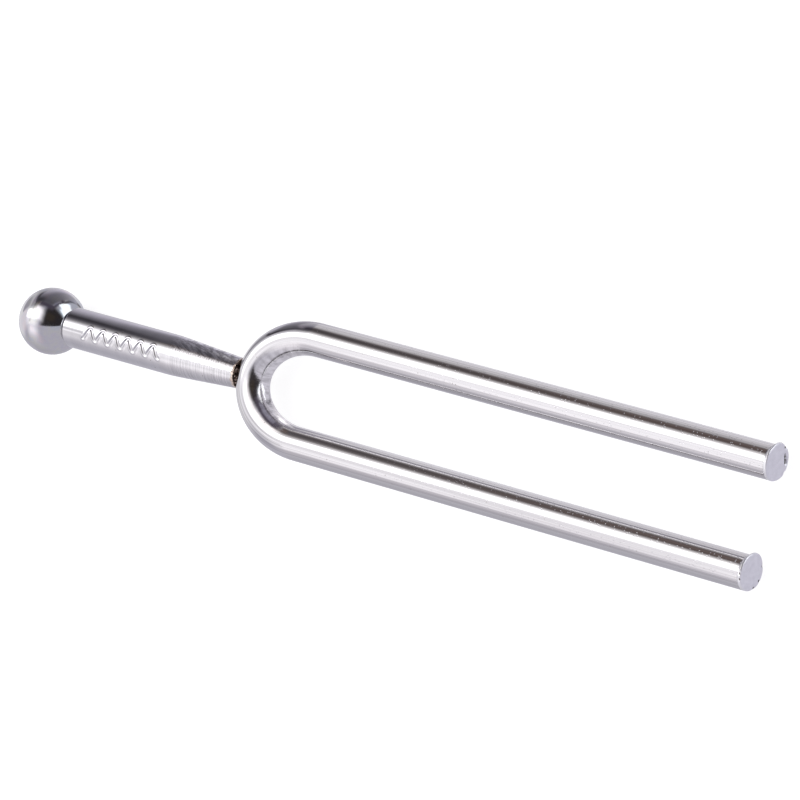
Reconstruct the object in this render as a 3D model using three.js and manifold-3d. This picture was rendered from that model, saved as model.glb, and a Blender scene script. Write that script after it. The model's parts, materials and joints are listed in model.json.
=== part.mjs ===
// Tuning fork with a ball end, lying on a flat surface.
// Millimetres, +Z up. +X runs from the ball to the tine tips, +Y across the two tines.
// The fork is modelled along X, then tipped by the small angle at which its ball and
// its tine tips both touch the surface z = 0.
import * as THREE from "three";
import { mergeVertices } from "three/addons/utils/BufferGeometryUtils.js";
import Module from "manifold-3d";

// ---- Driving dimensions ----
const barDiameter = 4.6; // round bar that is bent into the two tines
const tineSpacing = 14.1; // centre to centre
const tineLength = 74.4; // straight run, from the bend to the tip
const bendDepth = 9.55; // how far the bent centreline reaches behind the straight runs
const rimDiameter = 5.1; // burr round the cut end of each tine
const rimReach = 0.7; // length over which the bar flares out to the burr
const rimChamfer = 0.2; // broken edge between the burr and the end face
const rimShift = 0.17; // the cutter left more burr on its exit side, +Y
const rimTuck = 0.05; // how far inside the bar the flare begins
const neckDiameter = 4.2; // stem's small end, welded to the back of the bend
const taperLength = 10.95;
const gripDiameter = 5.6;
const gripLength = 18.6;
const ballDiameter = 9.3;
const ballSeatDiameter = 3.3; // flat on the ball that the stem stands against
const spigotDiameter = 2.2; // stem's end, held in the ball's blind bore
const spigotLength = 3.6;
const weldThickness = 0.2; // where it is thinnest, behind the bar's back
const weldDiameter = 4.7;
const weldReach = 1.3; // how far it wraps on to the bar above and below
const weldRound = 0.3; // its rounded shoulder
const fitGap = 0.25; // clearance kept between neighbouring pieces

// ---- How finely round shapes are divided ----
const barSides = 24;
const bendSteps = 28;
const turnedSides = 32;
const ballSteps = 14;

// ---- Places along the fork's axis, measured from where the bend starts ----
const barRadius = barDiameter / 2;
const ballRadius = ballDiameter / 2;
const rimRadius = rimDiameter / 2;
const bendBack = -(bendDepth + barRadius);
const neckEnd = bendBack - weldThickness - fitGap;
const taperStart = neckEnd - taperLength;
const gripEnd = taperStart - gripLength;
const seat = gripEnd - fitGap;
const seatToCentre = Math.sqrt(ballRadius ** 2 - (ballSeatDiameter / 2) ** 2);
const ballCentre = seat - seatToCentre;

// ---- Materials ----
const metal = (color, roughness) =>
  new THREE.MeshStandardMaterial({ color, roughness, metalness: 1 });
const platedBar = metal(0xd4d2d6, 0.12);
const turnedStem = metal(0xc4c1c6, 0.28);
const polishedBall = metal(0x9d9aa2, 0.08);
const weldMetal = metal(0x3a312d, 0.7);

// ---- Joins and cuts ----
const wasm = await Module();
wasm.setup();

function toSolid(geometry) {
  const bare = geometry.clone();
  bare.deleteAttribute("normal");
  bare.deleteAttribute("uv");
  const merged = mergeVertices(bare);
  return new wasm.Manifold(
    new wasm.Mesh({
      numProp: 3,
      vertProperties: Float32Array.from(merged.attributes.position.array),
      triVerts: Uint32Array.from(merged.index.array),
    }),
  );
}

function toGeometry(solid) {
  const mesh = solid.getMesh();
  const geometry = new THREE.BufferGeometry();
  geometry.setAttribute("position", new THREE.BufferAttribute(mesh.vertProperties, 3));
  geometry.setIndex(new THREE.BufferAttribute(mesh.triVerts, 1));
  geometry.computeVertexNormals();
  return geometry;
}

// A profile is a list of [place along the axis, radius], from the ball's side to the tips.
function turned(profile) {
  const points = profile.map(([along, radius]) => new THREE.Vector2(radius, along));
  return new THREE.LatheGeometry(points, turnedSides).rotateZ(-Math.PI / 2);
}

// ---- The bent bar ----

// Centreline of the bar: one tine, round the half-ellipse bend, to the other tine. Each
// straight run is one step and stops inside the burr, and the other steps are in the bend.
class ForkCentreline extends THREE.Curve {
  getPoint(t) {
    const step = t * (bendSteps + 2);
    const side = t < 0.5 ? 1 : -1;
    if (step <= 1 || step >= bendSteps + 1) {
      const fromBend = t < 0.5 ? 1 - step : step - bendSteps - 1;
      const straight = tineLength - rimReach / 2;
      return new THREE.Vector3(straight * fromBend, (side * tineSpacing) / 2, 0);
    }
    const angle = (Math.PI * (step - 1)) / bendSteps;
    return new THREE.Vector3(
      -bendDepth * Math.sin(angle),
      (tineSpacing / 2) * Math.cos(angle),
      0,
    );
  }

  // Steps follow the parameter, so that they gather in the bend.
  getUtoTmapping(u) {
    return u;
  }
}

function bentBar(radius) {
  const section = new THREE.Shape();
  for (let i = 0; i < barSides; i += 1) {
    const angle = (2 * Math.PI * i) / barSides;
    const x = radius * Math.cos(angle);
    const y = radius * Math.sin(angle);
    if (i === 0) section.moveTo(x, y);
    else section.lineTo(x, y);
  }
  return new THREE.ExtrudeGeometry(section, {
    steps: bendSteps + 2,
    bevelEnabled: false,
    extrudePath: new ForkCentreline(),
  });
}

// The flared burr and flat end face of the tine on one side, +1 or -1.
function tineEnd(side) {
  const end = turned([
    [tineLength - rimReach, 0],
    [tineLength - rimReach, barRadius - rimShift - rimTuck],
    [tineLength - rimChamfer, rimRadius],
    [tineLength, rimRadius - rimChamfer],
    [tineLength, 0],
  ]);
  return end.translate(0, (side * tineSpacing) / 2 + rimShift, 0);
}

function forkBarGeometry() {
  const ends = toSolid(tineEnd(1)).add(toSolid(tineEnd(-1)));
  return toGeometry(toSolid(bentBar(barRadius)).add(ends));
}

// ---- Turned pieces ----

function stemGeometry() {
  const spigotRadius = spigotDiameter / 2;
  const gripRadius = gripDiameter / 2;
  const neckRadius = neckDiameter / 2;
  return turned([
    [gripEnd - spigotLength, 0],
    [gripEnd - spigotLength, spigotRadius],
    [gripEnd, spigotRadius],
    [gripEnd, gripRadius],
    [taperStart, gripRadius],
    [neckEnd, neckRadius],
    [neckEnd, 0],
  ]);
}

function ballGeometry() {
  const boreRadius = spigotDiameter / 2 + fitGap;
  const boreEnd = gripEnd - spigotLength - fitGap;
  const seatAngle = Math.atan2(ballSeatDiameter / 2, seatToCentre);
  const profile = [];
  for (let i = 0; i <= ballSteps; i += 1) {
    const angle = Math.PI + ((seatAngle - Math.PI) * i) / ballSteps;
    const radius = i === 0 ? 0 : ballRadius * Math.sin(angle);
    profile.push([ballCentre + ballRadius * Math.cos(angle), radius]);
  }
  profile.push([seat, boreRadius], [boreEnd, boreRadius], [boreEnd, 0]);
  return turned(profile);
}

// The weld fills the saddle between the stem's flat end and the round back of the bar.
function weldGeometry() {
  const weldStart = neckEnd + fitGap;
  const weldRadius = weldDiameter / 2;
  const weldEnd = bendBack + weldReach;
  const collar = turned([
    [weldStart, 0],
    [weldStart, neckDiameter / 2],
    [weldStart + weldRound, weldRadius],
    [weldEnd - weldRound, weldRadius],
    [weldEnd, neckDiameter / 2],
    [weldEnd, 0],
  ]);
  return toGeometry(toSolid(collar).subtract(toSolid(bentBar(barRadius + fitGap))));
}

// ---- Assembly ----
function piece(name, geometry, material) {
  const mesh = new THREE.Mesh(geometry, material);
  mesh.name = name;
  return mesh;
}

const fork = new THREE.Group();
fork.add(
  piece("fork_bar", forkBarGeometry(), platedBar),
  piece("stem", stemGeometry(), turnedStem),
  piece("ball_end", ballGeometry(), polishedBall),
  piece("weld_bead", weldGeometry(), weldMetal),
);

// Tip the fork until the ball and the burrs on the tine tips touch the same surface.
const span = tineLength - rimChamfer - ballCentre;
fork.rotation.y =
  Math.asin(ballRadius / Math.hypot(span, rimRadius)) - Math.atan2(rimRadius, span);

// The origin is on the surface, under the middle of the fork's bounding box.
fork.updateMatrixWorld(true);
const box = new THREE.Box3().setFromObject(fork, true);
fork.position.set(-(box.min.x + box.max.x) / 2, 0, -box.min.z);

const tuningFork = new THREE.Group();
tuningFork.add(fork);

export default tuningFork;
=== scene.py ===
"""Looks of a ball-ended tuning fork that lies on a pale floor in soft studio light.

Metres throughout. Every piece is made in the fork's own axes and then placed in the row frame:
the fork's origin is on its axis where the bend starts, +X runs to the tine tips, +Y across the
tines and +Z out of the fork's plane. The fork dips slightly, so these aren't quite the row's axes.
"""

import json
import math

import bpy
import numpy as np
from mathutils import Matrix, Vector


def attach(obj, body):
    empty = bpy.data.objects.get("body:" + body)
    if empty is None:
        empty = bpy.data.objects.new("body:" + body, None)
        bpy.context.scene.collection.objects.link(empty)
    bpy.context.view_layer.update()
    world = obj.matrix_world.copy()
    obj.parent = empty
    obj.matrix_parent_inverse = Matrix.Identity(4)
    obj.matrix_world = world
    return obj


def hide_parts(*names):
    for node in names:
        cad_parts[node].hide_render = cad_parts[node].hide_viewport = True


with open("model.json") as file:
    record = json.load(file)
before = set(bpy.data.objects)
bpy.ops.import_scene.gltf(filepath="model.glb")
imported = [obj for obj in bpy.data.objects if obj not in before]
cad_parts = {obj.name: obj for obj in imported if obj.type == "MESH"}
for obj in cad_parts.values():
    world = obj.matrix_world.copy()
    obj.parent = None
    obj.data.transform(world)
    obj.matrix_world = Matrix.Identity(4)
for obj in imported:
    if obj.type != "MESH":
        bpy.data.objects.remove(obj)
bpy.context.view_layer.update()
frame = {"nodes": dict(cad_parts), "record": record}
MM = 0.001

# ---- Dimensions that the frame doesn't state ----
tine_length = 74.4 * MM  # straight run, from the bend to the tip
bar_radius = 2.3 * MM
rim_reach = 0.7 * MM  # length over which a cut end flares out to its burr
rim_chamfer = 0.2 * MM
rim_shift = 0.17 * MM  # both burrs stand further out on their +Y side
taper_start = -23.25 * MM
neck_end = -11.6 * MM  # the stem is sunk a little into the back of the bend
neck_radius = 2.06 * MM
seat_radius = 1.65 * MM  # flat on the ball that the stem stands against

# ---- Dimensions and places from the frame ----
mounts = {m["name"]: m for m in frame["record"]["mounts"]}
left_tip = Vector(mounts["tine_tip_left"]["pos_m"])
right_tip = Vector(mounts["tine_tip_right"]["pos_m"])
fork_x = Vector(mounts["tine_tip_left"]["axis"]).normalized()
fork_y = (left_tip - right_tip).normalized()
fork_z = fork_x.cross(fork_y)
fork_origin = (left_tip + right_tip) / 2 - fork_x * tine_length
fork_place = Matrix.Translation(fork_origin) @ Matrix((fork_x, fork_y, fork_z)).transposed().to_4x4()


def in_fork_axes(node):
    """The lowest and highest corners of a CAD node in the fork's own axes."""
    inverse = fork_place.inverted()
    corners = [inverse @ v.co for v in frame["nodes"][node].data.vertices]
    low = Vector([min(c[i] for c in corners) for i in range(3)])
    high = Vector([max(c[i] for c in corners) for i in range(3)])
    return low, high


bar_low, bar_high = in_fork_axes("fork_bar")
_, stem_high = in_fork_axes("stem")
ball_low, ball_high = in_fork_axes("ball_end")

half_spacing = (left_tip - right_tip).length / 2
rim_radius = bar_high.z
bend_depth = -bar_low.x - bar_radius
grip_radius = stem_high.y
ball_radius = ball_high.y
ball_centre = ball_low.x + ball_radius
seat = ball_centre + math.sqrt(ball_radius**2 - seat_radius**2)


# ---- Shape helpers ----
def smooth_step(low, high, value):
    t = np.clip((value - low) / (high - low), 0, 1)
    return t * t * (3 - 2 * t)


def sweep(sides):
    """Angles once round a ring, in the order that makes the faces point out."""
    return -2 * math.pi * np.arange(sides) / sides


def wavy(along, around, size, turns, seed):
    """Smooth noise from -1 to 1 over lengths and angles that broadcast to one grid. Its features
    are about size long, and turns of them go once round."""
    count = int(np.ptp(along) / size) + 3
    lattice = np.random.default_rng(seed).uniform(-1, 1, (count, turns))
    u = (along - along.min()) / size
    v = around / (2 * math.pi) * turns
    row, column = np.floor(u).astype(int), np.floor(v).astype(int)
    fu, fv = smooth_step(0, 1, u - row), smooth_step(0, 1, v - column)
    near = lattice[row, column % turns] * (1 - fv) + lattice[row, (column + 1) % turns] * fv
    far = lattice[row + 1, column % turns] * (1 - fv) + lattice[row + 1, (column + 1) % turns] * fv
    return near * (1 - fu) + far * fu


def ragged(angles, corners, seed):
    """Broken-edge noise from 0 to 1 round a rim, straight between its corners."""
    heights = np.random.default_rng(seed).uniform(0, 1, corners)
    return np.interp(angles, 2 * math.pi * np.arange(corners) / corners, heights, period=2 * math.pi)


def make_piece(name, rings, start, end, place, traits):
    """One closed mesh from a grid of points (rings, sides, 3) in the fork's axes, and the points
    that close its two ends. place is what the materials read: where each point is, along and
    round the undeformed surface. traits are further named values for the materials."""
    count, sides = rings.shape[:2]
    points = np.concatenate([rings.reshape(-1, 3), [start, end]])
    turn = np.array(fork_place.to_3x3())
    points = points @ turn.T + np.array(fork_place.translation)
    this = (np.arange(count - 1)[:, None] * sides + np.arange(sides)).ravel()
    following = (np.arange(count - 1)[:, None] * sides + (np.arange(sides) + 1) % sides).ravel()
    faces = np.stack([this, following, following + sides, this + sides], 1).tolist()
    first, last = count * sides, count * sides + 1
    for i in range(sides):
        j = (i + 1) % sides
        faces.append((first, j, i))
        faces.append((last, first - sides + i, first - sides + j))
    data = bpy.data.meshes.new(name)
    data.from_pydata(points, [], faces)
    data.shade_smooth()
    data.set_sharp_from_angle(angle=math.radians(50))
    place = np.concatenate([place.reshape(-1, 3), place[0, :1], place[-1, :1]])
    layer = data.attributes.new("place", "FLOAT_VECTOR", "POINT")
    layer.data.foreach_set("vector", place.astype(np.float32).ravel())
    for trait, values in traits.items():
        grid = np.broadcast_to(values, (count, sides))
        flat = np.concatenate([grid.ravel(), grid[0, :1], grid[-1, :1]])
        layer = data.attributes.new(trait, "FLOAT", "POINT")
        layer.data.foreach_set("value", flat.astype(np.float32))
    piece = bpy.data.objects.new(name, data)
    bpy.context.scene.collection.objects.link(piece)
    return piece


def dented(points, marks):
    """Pushes in small marks, each (middle, width, push) in millimetres, and says how far into a
    mark each point is, from 0 to 1."""
    depth = np.zeros(points.shape[:-1])
    for middle, width, push in marks:
        away = np.linalg.norm(points - np.array(middle) * MM, axis=-1) / (width * MM)
        share = np.exp(-(away**2))
        points = points + share[..., None] * np.array(push) * MM
        depth = np.maximum(depth, share)
    return points, depth


# ---- The bent bar ----
bar_sides = 96
tine_rings = 150
bend_rings = 170
bend_length = math.pi * math.sqrt((half_spacing**2 + bend_depth**2) / 2)
bar_length = 2 * tine_length + bend_length
bar_marks = [
    ((74.4, 8.27, -1.50), 0.2, (-0.3, 0, 0)),  # a torn slit in the left end face
    ((74.4, 8.0, -1.68), 0.27, (-0.4, 0, 0)),
    ((74.4, 7.6, -1.86), 0.27, (-0.4, 0, 0)),
    ((74.4, 7.25, -1.93), 0.22, (-0.35, 0, 0)),
    ((74.4, 6.0, -2.2), 0.2, (-0.2, 0, 0)),  # chips out of the left burr
    ((74.4, 9.2, -1.1), 0.2, (-0.2, 0, 0)),
    ((74.15, -7.2, 2.5), 0.2, (0, 0, -0.16)),  # pits in the right burr
    ((74.25, -7.95, 2.35), 0.22, (-0.05, 0, -0.16)),
    ((74.4, -5.95, -2.1), 0.2, (-0.15, 0, 0)),  # chips out of the right burr
    ((74.4, -7.86, -2.05), 0.2, (-0.15, 0, 0)),
    ((74.4, -8.8, -1.2), 0.18, (-0.15, 0, 0)),
]


def centreline(travel):
    """Points of the bar's centreline and its outward normals, by how far along the bar they are
    from the left end face."""
    angle = math.pi * np.clip((travel - tine_length) / bend_length, 0, 1)
    left_run = np.maximum(0, tine_length - travel)
    right_run = np.maximum(0, travel - tine_length - bend_length)
    level = np.zeros_like(travel)
    x = left_run + right_run - bend_depth * np.sin(angle)
    points = np.stack([x, half_spacing * np.cos(angle), level], 1)
    outward = np.stack([-half_spacing * np.sin(angle), bend_depth * np.cos(angle), level], 1)
    return points, outward / np.linalg.norm(outward, axis=1)[:, None]


def end_profile():
    """(distance from the end face, share of the radius, inset) of each ring of a cut end."""
    face = [(0, share, rim_chamfer * share) for share in np.linspace(0.05, 0.98, 28)]
    edge = []
    for angle in np.linspace(math.pi / 2, 0, 5):
        edge.append((rim_chamfer * (1 - math.sin(angle)), 1, rim_chamfer * (1 - math.cos(angle))))
    flare = [(d, 1, 0) for d in np.linspace(rim_chamfer, rim_reach, 10)[1:]]
    return face + edge + flare


def make_bar():
    end = np.array(end_profile())
    run = np.linspace(rim_reach, tine_length, tine_rings + 1)[1:]
    distance = np.concatenate([end[:, 0], run])
    share = np.concatenate([end[:, 1], np.ones(tine_rings)])
    inset = np.concatenate([end[:, 2], np.zeros(tine_rings)])
    bend = tine_length + bend_length * np.arange(1, bend_rings) / bend_rings
    travel = np.concatenate([distance, bend, bar_length - distance[::-1]])
    middle = np.ones(len(bend))
    share = np.concatenate([share, middle, share[::-1]])[:, None]
    inset = np.concatenate([inset, 0 * middle, inset[::-1]])[:, None]
    centre, outward = centreline(travel)
    around = sweep(bar_sides)

    # The burr stands out most on the +Y side of both ends, and its rim is broken into facets.
    from_end = np.minimum(travel, bar_length - travel)[:, None]
    right_half = (travel > bar_length / 2)[:, None]
    toward_y = np.where(right_half, -np.cos(around), np.cos(around))
    broken = np.where(right_half, ragged(around, 14, 5), ragged(around, 17, 2))
    burr = rim_radius - bar_radius + rim_shift * toward_y - 0.13 * MM * broken
    rise = np.clip((rim_reach - from_end) / (rim_reach - rim_chamfer), 0, 1)

    # Drawing leaves the bar faintly uneven, and bending wrinkles the inside of the bend.
    in_bend = smooth_step(0.08, 0.3, np.sin(math.pi * (travel - tine_length) / bend_length))
    in_bend = np.where(np.abs(travel - bar_length / 2) < bend_length / 2, in_bend, 0)[:, None]
    worked = in_bend * smooth_step(0.15, 0.85, -np.cos(around))
    uneven = 0.8e-6 * wavy(travel[:, None], around, 11 * MM, 9, 21)
    wrinkles = 3.5e-6 * worked * wavy(travel[:, None], around, 0.8 * MM, 9, 4)
    radius = bar_radius - 5e-6 + uneven + wrinkles
    radius = share * (radius + burr * rise**2 - inset)

    across = np.cos(around)[None, :, None] * outward[:, None, :]
    upward = np.sin(around)[None, :, None] * np.array([0, 0, 1])
    rings = centre[:, None, :] + radius[:, :, None] * (across + upward)
    rings, dent_shade = dented(rings, bar_marks)

    along = np.broadcast_to(travel[:, None], radius.shape)
    across = share * bar_radius * np.cos(around)
    up = share * bar_radius * np.sin(around)
    place = np.stack([along, across, up], -1)
    traits = {
        "worked": worked,
        "cut": 1 - smooth_step(0, 0.12 * MM, from_end),
        "flared": smooth_step(0.15, 0.6, rise),
        "dent_shade": dent_shade,
        "scuffed": 1 - smooth_step(10 * MM, 90 * MM, from_end),
    }
    return make_piece("bent_bar", rings, centre[0], centre[-1], place, traits)


# ---- Turned pieces ----
def turned(name, along, radius, sides, traits):
    """A turned piece from its profile: places along the axis, and a radius for each place or for
    each place and angle."""
    around = sweep(sides)
    radius = np.broadcast_to(radius, (len(along), sides))
    level = np.broadcast_to(along[:, None], radius.shape)
    rings = np.stack([level, radius * np.sin(around), radius * np.cos(around)], -1)
    start = (along[0], 0, 0)
    end = (along[-1], 0, 0)
    return make_piece(name, rings, start, end, rings, traits)


# ---- The stem and its mark ----
stem_sides = 288
mark_start = -38.2 * MM
mark_pitch = 2.3 * MM
mark_waves = 6
mark_height = 0.7 * MM  # half the height of the wave, along the curved surface
mark_turn = math.radians(-3)  # the middle of the wave, from straight up towards +Y
groove_half_width = 0.3 * MM
groove_depth = 0.1 * MM
groove_lip = 0.03 * MM


def nearest(grid_along, grid_arc, along, arc):
    """How far each place on the unrolled grip is from the nearest of the given points."""
    best = np.full(grid_along.shape, 1.0)
    for a, t in zip(along, arc):
        np.minimum(best, np.hypot(grid_along - a, grid_arc - t), out=best)
    return best


def stamped(distance):
    """Height of a pressed groove with a raised lip, by the distance from its middle."""
    hollow = -groove_depth * (1 - smooth_step(0, groove_half_width, distance))
    from_lip = distance - 1.15 * groove_half_width
    lip = groove_lip * np.exp(-((from_lip / (0.35 * groove_half_width)) ** 2))
    return hollow + lip


def stamped_wave(along, around):
    """Height of the mark on the grip: a plain even wave."""
    turn = (around - mark_turn + math.pi) % (2 * math.pi) - math.pi
    arc = grip_radius * turn
    phase = np.linspace(0, mark_waves, 90 * mark_waves)
    wave_along = mark_start + mark_pitch * phase
    wave_arc = -mark_height * np.cos(2 * math.pi * phase)
    grid_along, grid_arc = np.broadcast_arrays(along, arc)
    return stamped(nearest(grid_along, grid_arc, wave_along, wave_arc))


def make_stem():
    around = sweep(stem_sides)
    corner = np.linspace(0, math.pi / 2, 5)
    round_edge = 0.12 * MM
    cap = [seat, seat]
    cap_inset = [1.2 * MM, 0.3 * MM]
    edge = seat + round_edge * (1 - np.cos(corner))
    edge_inset = round_edge * (1 - np.sin(corner))
    body = np.concatenate([
        np.linspace(seat + 0.2 * MM, taper_start, 330),
        np.linspace(taper_start, neck_end, 260)[1:],
    ])
    cope = np.full(6, neck_end)
    cope_inset = np.linspace(0.06, 1.4, 6) * MM
    along = np.concatenate([cap, edge, body, cope])
    inset = np.concatenate([cap_inset, edge_inset, np.zeros(len(body)), cope_inset])

    # The taper starts with a soft corner, so its radius follows a hyperbola.
    slope = (grip_radius - neck_radius) / (neck_end - taper_start)
    past = along - taper_start
    radius = grip_radius - slope * (past + np.hypot(past, 0.9 * MM)) / 2 - inset

    # Tool marks run round the taper as a shallow screw thread and are fainter on the grip.
    on_taper = smooth_step(-1 * MM, 2.5 * MM, past)[:, None]
    thread = along[:, None] - 0.35 * MM * around / math.pi
    tool = wavy(thread, around, 0.13 * MM, 3, 11) + 0.6 * wavy(thread, around, 0.35 * MM, 4, 12)
    faint = wavy(along[:, None], around, 0.3 * MM, 2, 13)
    tooling = tool * on_taper * 4e-6 + faint * (1 - on_taper) * 0.25e-6

    # Welding left the neck's end ragged, heat-stained and slightly upset.
    to_end = (neck_end - along)[:, None]
    burnt = 1 - smooth_step(0, 0.3 * MM, to_end - 0.4 * MM * ragged(around, 34, 17))
    upset = 0.08 * MM * burnt * ragged(around, 46, 18)
    stamp = stamped_wave(along[:, None], around)
    radius = radius[:, None] + tooling + upset + stamp
    piece_end = (along >= neck_end - 1e-9)[:, None]
    scorched = np.where(piece_end, 1.0, 0.0)
    traits = {"burnt": burnt, "scorched": scorched, "turned": on_taper}
    return turned("turned_stem", along, radius, stem_sides, traits)


def make_ball():
    sides = 128
    around = sweep(sides)
    size = ball_radius - 5e-6
    turn = np.linspace(math.pi - 0.02, math.asin(seat_radius / size), 110)
    along = ball_centre + size * np.cos(turn)
    radius = size * np.sin(turn)
    uneven = 1.5e-6 * wavy(along[:, None], around, 2.5 * MM, 9, 31)
    return turned("ball_knob", along, radius[:, None] + uneven, sides, {})


def make_weld():
    """A lumpy bead in the gap between the neck's end and the round back of the bend."""
    sides = 90
    around = sweep(sides)
    along = np.linspace(neck_end - 0.25 * MM, neck_end + 0.65 * MM, 34)
    t = (along - along[0]) / (along[-1] - along[0])
    radius = (1.9 - 0.75 * t**1.3) * MM
    lumps = 0.12 * wavy(along[:, None], around, 0.16 * MM, 34, 41)
    grains = 0.05 * wavy(along[:, None], around, 0.06 * MM, 80, 42)
    return turned("weld_ring", along, radius[:, None] + (lumps + grains) * MM, sides, {})


# ---- Node helpers ----
def feed(tree, value, socket):
    """Links a socket into another, or sets a plain number."""
    if isinstance(value, bpy.types.NodeSocket):
        tree.links.new(value, socket)
    else:
        socket.default_value = value


def calculate(tree, operation, a, b=0.0):
    node = tree.nodes.new("ShaderNodeMath")
    node.operation = operation
    feed(tree, a, node.inputs[0])
    feed(tree, b, node.inputs[1])
    return node.outputs["Value"]


def to_range(tree, source, from_min, from_max, low, high, soft=False):
    node = tree.nodes.new("ShaderNodeMapRange")
    node.interpolation_type = "SMOOTHSTEP" if soft else "LINEAR"
    node.inputs["From Min"].default_value = from_min
    node.inputs["From Max"].default_value = from_max
    node.inputs["To Min"].default_value = low
    node.inputs["To Max"].default_value = high
    tree.links.new(source, node.inputs["Value"])
    return node.outputs["Result"]


def mix(tree, factor, a, b):
    """A colour between a and b, each a socket or three numbers."""
    node = tree.nodes.new("ShaderNodeMix")
    node.data_type = "RGBA"
    feed(tree, factor, node.inputs["Factor"])
    for value, socket in ((a, "A"), (b, "B")):
        feed(tree, value if isinstance(value, bpy.types.NodeSocket) else (*value, 1), node.inputs[socket])
    return node.outputs["Result"]


def ramp(tree, source, stops):
    """Maps a value to colours: stops is a list of (position, colour)."""
    node = tree.nodes.new("ShaderNodeValToRGB")
    elements = node.color_ramp.elements
    while len(elements) < len(stops):
        elements.new(1.0)
    for element, (position, colour) in zip(elements, stops):
        element.position = position
        element.color = (*colour, 1)
    tree.links.new(source, node.inputs["Fac"])
    return node.outputs["Color"]


# ---- Materials ----
def new_material(name):
    material = bpy.data.materials.new(name)
    material.use_nodes = True
    tree = material.node_tree
    shader = tree.nodes["Principled BSDF"]
    shader.inputs["Metallic"].default_value = 1.0
    return material, tree, shader


def trait(tree, name):
    node = tree.nodes.new("ShaderNodeAttribute")
    node.attribute_name = name
    return node.outputs["Fac"]


def on_surface(tree, along, around, slant=0.0):
    """The piece's own place, turned by slant degrees in the fork's plane and then stretched to so
    many features per metre along and around it."""
    place = tree.nodes.new("ShaderNodeAttribute")
    place.attribute_name = "place"
    mapping = tree.nodes.new("ShaderNodeMapping")
    mapping.vector_type = "TEXTURE"
    mapping.inputs["Rotation"].default_value = (0, 0, math.radians(slant))
    mapping.inputs["Scale"].default_value = (1 / along, 1 / around, 1 / around)
    tree.links.new(place.outputs["Vector"], mapping.inputs["Vector"])
    return mapping.outputs["Vector"]


def sideways(tree):
    """How far each place is from the piece's axis towards +Y."""
    place = tree.nodes.new("ShaderNodeAttribute")
    place.attribute_name = "place"
    axes = tree.nodes.new("ShaderNodeSeparateXYZ")
    tree.links.new(place.outputs["Vector"], axes.inputs["Vector"])
    return axes.outputs["Y"]


def grain(tree, along, around, detail=3.0, slant=0.0):
    """Noise from 0 to 1 with so many features per metre along and around the piece."""
    texture = tree.nodes.new("ShaderNodeTexNoise")
    texture.inputs["Scale"].default_value = 1.0
    texture.inputs["Detail"].default_value = detail
    tree.links.new(on_surface(tree, along, around, slant), texture.inputs["Vector"])
    return texture.outputs["Fac"]


def pits(tree, per_metre, size, share):
    """1 inside small pits and 0 elsewhere. size is a pit's share of its cell, and share is how
    many of the cells have one."""
    cells = tree.nodes.new("ShaderNodeTexVoronoi")
    cells.inputs["Scale"].default_value = 1.0
    tree.links.new(on_surface(tree, per_metre, per_metre), cells.inputs["Vector"])
    chosen = tree.nodes.new("ShaderNodeSeparateColor")
    tree.links.new(cells.outputs["Color"], chosen.inputs["Color"])
    kept = calculate(tree, "LESS_THAN", chosen.outputs["Red"], share)
    inside = to_range(tree, cells.outputs["Distance"], size, size * 0.4, 0.0, 1.0, soft=True)
    return calculate(tree, "MULTIPLY", kept, inside)


def relief(tree, shader, *layers):
    """Bump from layers of (noise, height in micrometres)."""
    total = 0.0
    for noise, height in layers:
        total = calculate(tree, "ADD", calculate(tree, "MULTIPLY", noise, height), total)
    bump = tree.nodes.new("ShaderNodeBump")
    bump.inputs["Distance"].default_value = 1e-6
    tree.links.new(total, bump.inputs["Height"])
    tree.links.new(bump.outputs["Normal"], shader.inputs["Normal"])


def bright_plating():
    """Nickel over drawn bar: fine lines along it, small pits, a worked bend, matte cut ends and painted
    shade in the dents at the ends.
    """
    material, tree, shader = new_material("bright_plating")
    cut, flared, dent_shade = trait(tree, "cut"), trait(tree, "flared"), trait(tree, "dent_shade")
    worked, scuffed = trait(tree, "worked"), trait(tree, "scuffed")
    speck = pits(tree, 1900, 0.22, 0.07)
    scuff = calculate(tree, "MULTIPLY", scuffed, pits(tree, 3600, 0.34, 0.3))
    drawn = grain(tree, 9, 4200, 4.0)
    tone = ramp(tree, drawn, [(0.40, (0.54, 0.527, 0.543)), (0.54, (0.68, 0.67, 0.685))])
    mottle = grain(tree, 1300, 700)
    mottle = ramp(tree, mottle, [(0.36, (0.70, 0.68, 0.69)), (0.6, (0.94, 0.92, 0.93))])
    tone = mix(tree, worked, tone, mottle)
    tone = mix(tree, calculate(tree, "MULTIPLY", speck, 0.6), tone, (0.30, 0.27, 0.25))
    tone = mix(tree, flared, tone, (0.95, 0.945, 0.96))
    saw = ramp(tree, grain(tree, 1400, 1400), [(0.3, (0.88, 0.87, 0.92)), (0.7, (0.96, 0.95, 1.0))])
    tone = mix(tree, cut, tone, saw)
    # Painted shade: the torn slit, the chips and the pits are painted near-black by how far into each
    # dent a point is.
    tone = mix(tree, to_range(tree, dent_shade, 0.35, 0.7, 0.0, 1.0), tone, (0.10, 0.085, 0.08))
    feed(tree, tone, shader.inputs["Base Color"])
    haze = to_range(tree, grain(tree, 60, 1500), 0.3, 0.7, 0.07, 0.11)
    for part, rougher in ((worked, 0.1), (flared, 0.3), (cut, 0.12), (speck, 0.2)):
        haze = calculate(tree, "ADD", haze, calculate(tree, "MULTIPLY", part, rougher))
    feed(tree, haze, shader.inputs["Roughness"])
    relief(
        tree,
        shader,
        (grain(tree, 9, 4200), 3.0),
        (grain(tree, 500, 700, 1.0), 0.8),
        (calculate(tree, "MULTIPLY", worked, grain(tree, 2200, 700)), 14.0),
        (calculate(tree, "MULTIPLY", cut, grain(tree, 2500, 2500)), 6.0),
        (speck, -6.0),
        (scuff, -16.0),
    )
    return material


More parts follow.
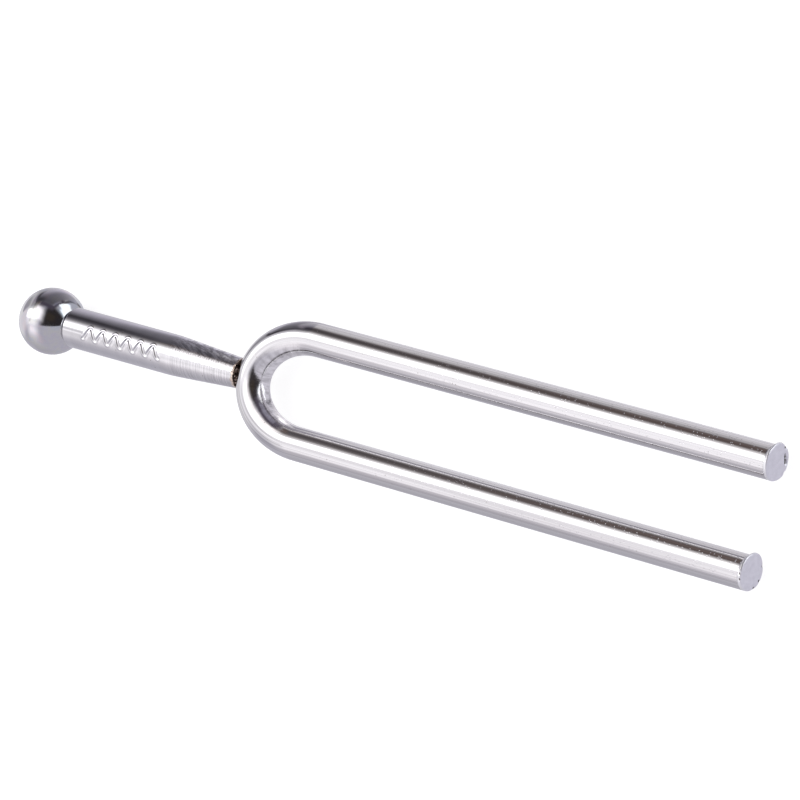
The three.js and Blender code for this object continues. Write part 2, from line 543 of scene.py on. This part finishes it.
def turned_plating():
    """Nickel over turned steel: tool marks run round it, with painted glints and dark streaks of them on
    the taper's +Y side, and welding has burnt its small end.
    """
    material, tree, shader = new_material("turned_plating")
    burnt, scorched, turned_part = trait(tree, "burnt"), trait(tree, "scorched"), trait(tree, "turned")
    speck = pits(tree, 1900, 0.24, 0.06)
    plain = grain(tree, 900, 300, 4.0)
    plain = ramp(tree, plain, [(0.35, (0.60, 0.59, 0.61)), (0.62, (0.64, 0.63, 0.65))])
    ringed = grain(tree, 6000, 240, 4.0)
    ringed = ramp(tree, ringed, [(0.36, (0.55, 0.54, 0.56)), (0.6, (0.67, 0.66, 0.68))])
    tone = mix(tree, turned_part, plain, ringed)
    # Painted glints: light and dark slanted streaks are painted only on the taper's +Y side, where it
    # reflects the dark band, standing in for tool marks catching the light.
    painted_glint_streaks = grain(tree, 250, 2800, 2.0, -26)
    painted_glint_streaks = ramp(tree, painted_glint_streaks, [(0.42, (0.45, 0.44, 0.46)), (0.62, (0.97, 0.96, 1.0))])
    shaded_side = to_range(tree, sideways(tree), 0.8 * MM, 1.2 * MM, 0.0, 0.9)
    tone = mix(tree, calculate(tree, "MULTIPLY", shaded_side, turned_part), tone, painted_glint_streaks)
    tone = mix(tree, calculate(tree, "MULTIPLY", speck, 0.6), tone, (0.30, 0.27, 0.25))
    stain = ramp(tree, grain(tree, 3000, 3000), [(0.38, (0.16, 0.10, 0.07)), (0.55, (0.80, 0.66, 0.54))])
    soot = ramp(tree, grain(tree, 3600, 3600), [(0.46, (0.02, 0.013, 0.011)), (0.6, (0.5, 0.38, 0.31))])
    tone = mix(tree, calculate(tree, "MULTIPLY", burnt, 0.8), tone, stain)
    feed(tree, mix(tree, scorched, tone, soot), shader.inputs["Base Color"])
    haze = to_range(tree, grain(tree, 1800, 200), 0.3, 0.7, 0.03, 0.08)
    for part, rougher in ((turned_part, 0.06), (burnt, 0.25), (scorched, 0.2)):
        haze = calculate(tree, "ADD", haze, calculate(tree, "MULTIPLY", part, rougher))
    feed(tree, haze, shader.inputs["Roughness"])
    relief(
        tree,
        shader,
        (calculate(tree, "MULTIPLY", turned_part, grain(tree, 7000, 160)), 16.0),
        (calculate(tree, "MULTIPLY", turned_part, grain(tree, 3000, 2200)), 13.0),
        (grain(tree, 5000, 90), 0.2),
        (grain(tree, 700, 700, 2.0), 1.0),
        (speck, -5.0),
    )
    return material


def ball_plating():
    """Nickel over a polished ball, with a light haze and fine scratches."""
    material, tree, shader = new_material("ball_plating")
    tints = [
        (0.36, (0.65, 0.60, 0.63)),
        (0.44, (0.61, 0.60, 0.645)),
        (0.50, (0.63, 0.62, 0.64)),
        (0.56, (0.64, 0.635, 0.62)),
        (0.64, (0.59, 0.61, 0.65)),
    ]
    tone = ramp(tree, grain(tree, 430, 430), tints)
    feed(tree, tone, shader.inputs["Base Color"])
    feed(tree, to_range(tree, grain(tree, 900, 900), 0.3, 0.7, 0.06, 0.13), shader.inputs["Roughness"])
    relief(tree, shader, (grain(tree, 4500, 500), 1.5), (grain(tree, 600, 600, 2.0), 3.0))
    return material


def weld_metal():
    """Rough weld, scorched dark brown with brighter grains."""
    material, tree, shader = new_material("weld_metal")
    stops = [(0.42, (0.015, 0.010, 0.009)), (0.54, (0.14, 0.09, 0.07)), (0.64, (0.70, 0.58, 0.50))]
    feed(tree, ramp(tree, grain(tree, 2600, 2600), stops), shader.inputs["Base Color"])
    feed(tree, to_range(tree, grain(tree, 2500, 2500), 0.3, 0.7, 0.35, 0.7), shader.inputs["Roughness"])
    relief(tree, shader, (grain(tree, 6000, 6000), 60.0))
    return material


# ---- Studio ----
# The metal reflects this studio and the camera sees only a white backdrop and floor. Directions
# are given by an angle round the fork's axis, 0 straight up and positive towards +Y, and by the X
# part of the direction, called reach.
shade = (0.60, 0.59, 0.655)
far_wall = (0.95, 0.94, 0.97)
glare = (3.2, 3.2, 3.25)

# What the bar sees round its axis, behind it: (angle, light).
behind_bar = [
    (-180, shade),
    (-119, (0.54, 0.53, 0.58)),
    (-97, (0.60, 0.59, 0.64)),
    (-78, (0.71, 0.69, 0.74)),
    (-63, (0.86, 0.83, 0.88)),  # the floor's bright edge
    (-55, (1.05, 1.02, 1.06)),
    (-48, (1.25, 1.22, 1.26)),
    (-41, (1.42, 1.39, 1.42)),
    (-34, (1.36, 1.34, 1.37)),
    (-27, (1.22, 1.20, 1.23)),  # a seam in the softbox
    (-20, (1.34, 1.32, 1.35)),
    (-14, (1.44, 1.42, 1.45)),
    (-9, (1.36, 1.35, 1.37)),
    (-3, (1.62, 1.61, 1.63)),
    (3, glare),
    (18, glare),
    (25, (2.1, 2.1, 2.1)),
    (31, (1.28, 1.26, 1.26)),  # the softbox fades into the dark
    (37, (0.78, 0.75, 0.75)),
    (43, (0.41, 0.385, 0.385)),
    (50, (0.20, 0.182, 0.183)),
    (57, (0.12, 0.108, 0.109)),
    (64, (0.088, 0.079, 0.081)),
    (70, (0.11, 0.10, 0.103)),
    (77, (0.26, 0.235, 0.235)),
    (85, (0.55, 0.53, 0.545)),
    (96, (0.76, 0.74, 0.76)),
    (108, (0.84, 0.82, 0.85)),
    (120, (0.88, 0.86, 0.90)),
    (150, (0.92, 0.90, 0.95)),
    (180, shade),
]
# What the stem's grip sees round its axis, further back.
behind_grip = [
    (-180, shade),
    (-97, shade),
    (-72, (0.72, 0.70, 0.76)),
    (-50, (1.04, 1.02, 1.06)),
    (-36, (1.02, 1.00, 1.03)),
    (-28, (1.04, 1.02, 1.05)),
    (-22, (1.50, 1.48, 1.51)),
    (-18, (1.30, 1.28, 1.31)),
    (-14, (0.88, 0.87, 0.90)),  # the softbox's lower seam
    (-8, (0.98, 0.97, 1.00)),
    (-2, (1.60, 1.58, 1.61)),
    (4, glare),
    (14, glare),
    (22, (1.90, 1.88, 1.90)),
    (30, (0.98, 0.96, 0.99)),
    (36, (0.54, 0.525, 0.54)),
    (43, (0.27, 0.26, 0.275)),
    (50, (0.145, 0.138, 0.155)),
    (57, (0.085, 0.08, 0.095)),
    (64, (0.045, 0.04, 0.055)),
    (71, (0.095, 0.088, 0.108)),
    (79, (0.18, 0.17, 0.20)),
    (87, (0.265, 0.255, 0.30)),
    (97, (0.39, 0.375, 0.425)),
    (110, (0.52, 0.51, 0.56)),
    (140, (0.74, 0.725, 0.78)),
    (180, shade),
]
# What only the ball sees, further back still.
behind_ball = [
    (-180, shade),
    (-70, shade),
    (-45, (0.80, 0.785, 0.83)),
    (-24, (1.12, 1.10, 1.14)),
    (-9, (1.25, 1.24, 1.28)),
    (0, glare),
    (20, glare),
    (32, (0.90, 0.88, 0.92)),
    (44, (0.46, 0.44, 0.48)),
    (66, (0.36, 0.33, 0.38)),
    (86, (0.36, 0.33, 0.38)),
    (112, (0.46, 0.45, 0.49)),
    (150, (0.60, 0.585, 0.63)),
    (180, shade),
]
# Soft-edged panels laid over the light above: (name, light, angles, reach, lean). Angles and
# reach are (starts, full, full until, ends), and lean turns the panel by that many degrees for
# each unit of reach.
panels = [
    ("far_corner", (0.44, 0.43, 0.47), (20, 55, 125, 160), (-1.2, -1.1, -0.93, -0.84), 0),
    ("lamp", (1.5, 1.48, 1.5), (42, 56, 120, 140), (-0.50, -0.43, -0.34, -0.28), 0),
    ("dark_room", (0.035, 0.03, 0.032), (-21, -18, 48, 74), (-0.16, 0.22, 1.1, 1.2), 0),
    ("brown_wall", (0.05, 0.04, 0.033), (-2, 8, 24, 36), (0.15, 0.35, 0.6, 0.8), 0),
    ("warm_haze", (0.165, 0.128, 0.118), (42, 53, 68, 79), (-0.60, -0.55, -0.50, -0.46), 0),
    ("softbox_side", (1.8, 1.74, 1.72), (-12, 3, 18, 38), (-0.55, -0.45, -0.34, 0.30), -27),
    ("purple_curtain", (0.085, 0.073, 0.10), (36, 50, 98, 112), (-0.5, -0.43, 0.34, 0.5), 0),
    ("grey_wall", (0.26, 0.25, 0.31), (56, 63, 86, 97), (-0.36, -0.26, 0.24, 0.36), 0),
    ("shelf_edge", (0.14, 0.135, 0.155), (132, 140, 149, 158), (-0.2, -0.02, 0.3, 0.4), -125),
    ("window_glow", (0.42, 0.48, 0.52), (54, 66, 76, 84), (0.5, 0.75, 0.96, 1.0), 0),
    ("window", (1.7, 1.75, 1.8), (74, 79, 112, 122), (0.35, 0.41, 0.93, 0.98), 0),
    ("window_top", (1.7, 1.75, 1.8), (62, 72, 130, 142), (0.54, 0.70, 0.94, 0.99), 0),
]


def circle(tree, angle, stops):
    """Light by the angle round the fork's axis, from stops in degrees."""
    turn = calculate(tree, "ADD", calculate(tree, "DIVIDE", angle, 2 * math.pi), 0.5)
    return ramp(tree, turn, [(degrees / 360 + 0.5, light) for degrees, light in stops])


def band(tree, source, starts, full, full_until, ends):
    rising = to_range(tree, source, starts, full, 0.0, 1.0, soft=True)
    falling = to_range(tree, source, full_until, ends, 1.0, 0.0, soft=True)
    return calculate(tree, "MULTIPLY", rising, falling)


def make_world():
    world = bpy.data.worlds.new("studio")
    bpy.context.scene.world = world
    world.use_nodes = True
    tree = world.node_tree
    tree.nodes.clear()
    direction = tree.nodes.new("ShaderNodeTexCoord")
    axes = tree.nodes.new("ShaderNodeSeparateXYZ")
    tree.links.new(direction.outputs["Generated"], axes.inputs["Vector"])
    reach = axes.outputs["X"]
    angle = calculate(tree, "ARCTAN2", axes.outputs["Y"], axes.outputs["Z"])
    further_back = to_range(tree, reach, -0.620, -0.632, 0.0, 1.0, soft=True)
    behind = mix(tree, further_back, circle(tree, angle, behind_bar), circle(tree, angle, behind_grip))
    furthest_back = to_range(tree, reach, -0.665, -0.74, 0.0, 1.0, soft=True)
    behind = mix(tree, furthest_back, behind, circle(tree, angle, behind_ball))
    colour = mix(tree, to_range(tree, reach, -0.45, 0.05, 0.0, 1.0, soft=True), behind, shade)
    colour = mix(tree, to_range(tree, reach, -0.80, -0.92, 0.0, 1.0, soft=True), colour, far_wall)
    for name, light, angles, reaches, lean in panels:
        leaning = calculate(tree, "ADD", angle, calculate(tree, "MULTIPLY", reach, -math.radians(lean)))
        turns = [math.radians(a) for a in angles]
        patch = calculate(tree, "MULTIPLY", band(tree, leaning, *turns), band(tree, reach, *reaches))
        patch.node.label = name
        colour = mix(tree, patch, colour, light)
    studio = tree.nodes.new("ShaderNodeBackground")
    tree.links.new(colour, studio.inputs["Color"])
    backdrop = tree.nodes.new("ShaderNodeBackground")
    backdrop.inputs["Color"].default_value = (1.0, 1.0, 1.0, 1)
    seen = tree.nodes.new("ShaderNodeLightPath")
    choice = tree.nodes.new("ShaderNodeMixShader")
    tree.links.new(seen.outputs["Is Camera Ray"], choice.inputs["Fac"])
    tree.links.new(studio.outputs["Background"], choice.inputs[1])
    tree.links.new(backdrop.outputs["Background"], choice.inputs[2])
    output = tree.nodes.new("ShaderNodeOutputWorld")
    tree.links.new(choice.outputs["Shader"], output.inputs["Surface"])


def make_floor():
    """A plain pale floor. Reflections pass through it to the studio, which has a floor of its own."""
    half = 3.0
    data = bpy.data.meshes.new("floor")
    corners = [(-half, -half, 0), (half, -half, 0), (half, half, 0), (-half, half, 0)]
    data.from_pydata(corners, [], [(0, 1, 2, 3)])
    floor = bpy.data.objects.new("floor", data)
    floor.visible_glossy = False
    bpy.context.scene.collection.objects.link(floor)
    material, tree, shader = new_material("pale_floor")
    shader.inputs["Metallic"].default_value = 0.0
    shader.inputs["Base Color"].default_value = (0.45, 0.45, 0.45, 1)
    shader.inputs["Roughness"].default_value = 1.0
    shader.inputs["Specular IOR Level"].default_value = 0.0
    shader.inputs["Emission Color"].default_value = (1, 1, 1, 1)
    shader.inputs["Emission Strength"].default_value = 0.84
    data.materials.append(material)


card_distance = 38 * MM
card_x = (-96 * MM, -86 * MM, -40 * MM, -34 * MM)  # starts, full, full until, ends
card_z = (-60 * MM, -45 * MM, 22 * MM, 34 * MM)
# The card's light by height in millimetres, in three parts from its back edge to its tine end.
card_tone = {
    "back edge": [(-58, 0.75), (-22, 0.55), (-12, 0.34), (-6, 0.14), (0, 0.08), (26, 0.08)],
    "ball end": [
        (-58, 0.80),
        (-28, 0.66),
        (-18, 0.57),
        (-10, 0.48),
        (-3, 0.37),
        (2, 0.26),
        (8, 0.17),
        (13, 0.095),
        (18, 0.05),
        (26, 0.075),
    ],
    "tine end": [
        (-58, 0.58),
        (-28, 0.42),
        (-18, 0.33),
        (-10, 0.26),
        (-3, 0.21),
        (8, 0.165),
        (18, 0.12),
    ],
}


def make_card():
    """A grey card beside the stem, lighter towards its foot. Only reflections see it."""
    corners = [(x, 0, z) for x in (card_x[0], card_x[3]) for z in (card_z[0], card_z[3])]
    data = bpy.data.meshes.new("card")
    data.from_pydata(corners, [], [(0, 2, 3, 1)])
    card = bpy.data.objects.new("card", data)
    card.matrix_world = fork_place @ Matrix.Translation((0, card_distance, 0))
    card.visible_camera = False
    card.visible_diffuse = False
    card.visible_shadow = False
    bpy.context.scene.collection.objects.link(card)
    material = bpy.data.materials.new("grey_card")
    material.use_nodes = True
    tree = material.node_tree
    tree.nodes.clear()
    spot = tree.nodes.new("ShaderNodeTexCoord")
    axes = tree.nodes.new("ShaderNodeSeparateXYZ")
    tree.links.new(spot.outputs["Object"], axes.inputs["Vector"])
    x, z = axes.outputs["X"], axes.outputs["Z"]
    low, high = card_z[0], card_z[3]
    level = to_range(tree, z, low, high, 0.0, 1.0)
    tones = {}
    for part, stops in card_tone.items():
        greys = [((h * MM - low) / (high - low), (g, 0.96 * g, 1.1 * g)) for h, g in stops]
        tones[part] = ramp(tree, level, greys)
    paper = tree.nodes.new("ShaderNodeEmission")
    toward_ball = to_range(tree, x, -84 * MM, -77 * MM, 0.0, 1.0, soft=True)
    tone = mix(tree, toward_ball, tones["back edge"], tones["ball end"])
    toward_tines = to_range(tree, x, -71 * MM, -54 * MM, 0.0, 1.0, soft=True)
    tone = mix(tree, toward_tines, tone, tones["tine end"])
    tree.links.new(tone, paper.inputs["Color"])
    clear = tree.nodes.new("ShaderNodeBsdfTransparent")
    edge = tree.nodes.new("ShaderNodeMixShader")
    solid = calculate(tree, "MULTIPLY", band(tree, x, *card_x), band(tree, z, *card_z))
    tree.links.new(solid, edge.inputs["Fac"])
    tree.links.new(clear.outputs["BSDF"], edge.inputs[1])
    tree.links.new(paper.outputs["Emission"], edge.inputs[2])
    output = tree.nodes.new("ShaderNodeOutputMaterial")
    tree.links.new(edge.outputs["Shader"], output.inputs["Surface"])
    data.materials.append(material)


# ---- Camera ----
camera_azimuth = math.radians(5.6)  # from +X towards +Y, in the fork's own axes
camera_elevation = math.radians(52.93)
camera_roll = math.radians(81.63)
camera_distance = 683.6 * MM
camera_aim = Vector((15.09, 2.23, 0)) * MM
camera_lens = 234.9


def make_camera():
    flat = math.cos(camera_elevation)
    x = flat * math.cos(camera_azimuth)
    y = flat * math.sin(camera_azimuth)
    back = Vector((x, y, math.sin(camera_elevation)))
    level = (-back).cross(Vector((0, 0, 1))).normalized()
    rise = level.cross(-back)
    up = math.cos(camera_roll) * rise + math.sin(camera_roll) * level
    right = (-back).cross(up)
    data = bpy.data.cameras.new("camera")
    data.sensor_width = 36
    data.lens = camera_lens
    data.clip_start = 0.01
    data.clip_end = 20
    camera = bpy.data.objects.new("camera", data)
    bpy.context.scene.collection.objects.link(camera)
    turn = Matrix((right, up, back)).transposed().to_4x4()
    camera.matrix_world = fork_place @ Matrix.Translation(camera_aim + back * camera_distance) @ turn
    bpy.context.scene.camera = camera


# ---- Assembly ----
bpy.context.scene.view_settings.view_transform = "Standard"
make_world()
make_floor()
make_card()
make_camera()
for piece, node, slot, material in (
    (make_bar(), "fork_bar", "bright_plating", bright_plating()),
    (make_stem(), "stem", "turned_plating", turned_plating()),
    (make_ball(), "ball_end", "ball_plating", ball_plating()),
    (make_weld(), "weld_bead", "weld_metal", weld_metal()),
):
    piece.data.materials.append(material)
    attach(piece, "root")
    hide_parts(node)
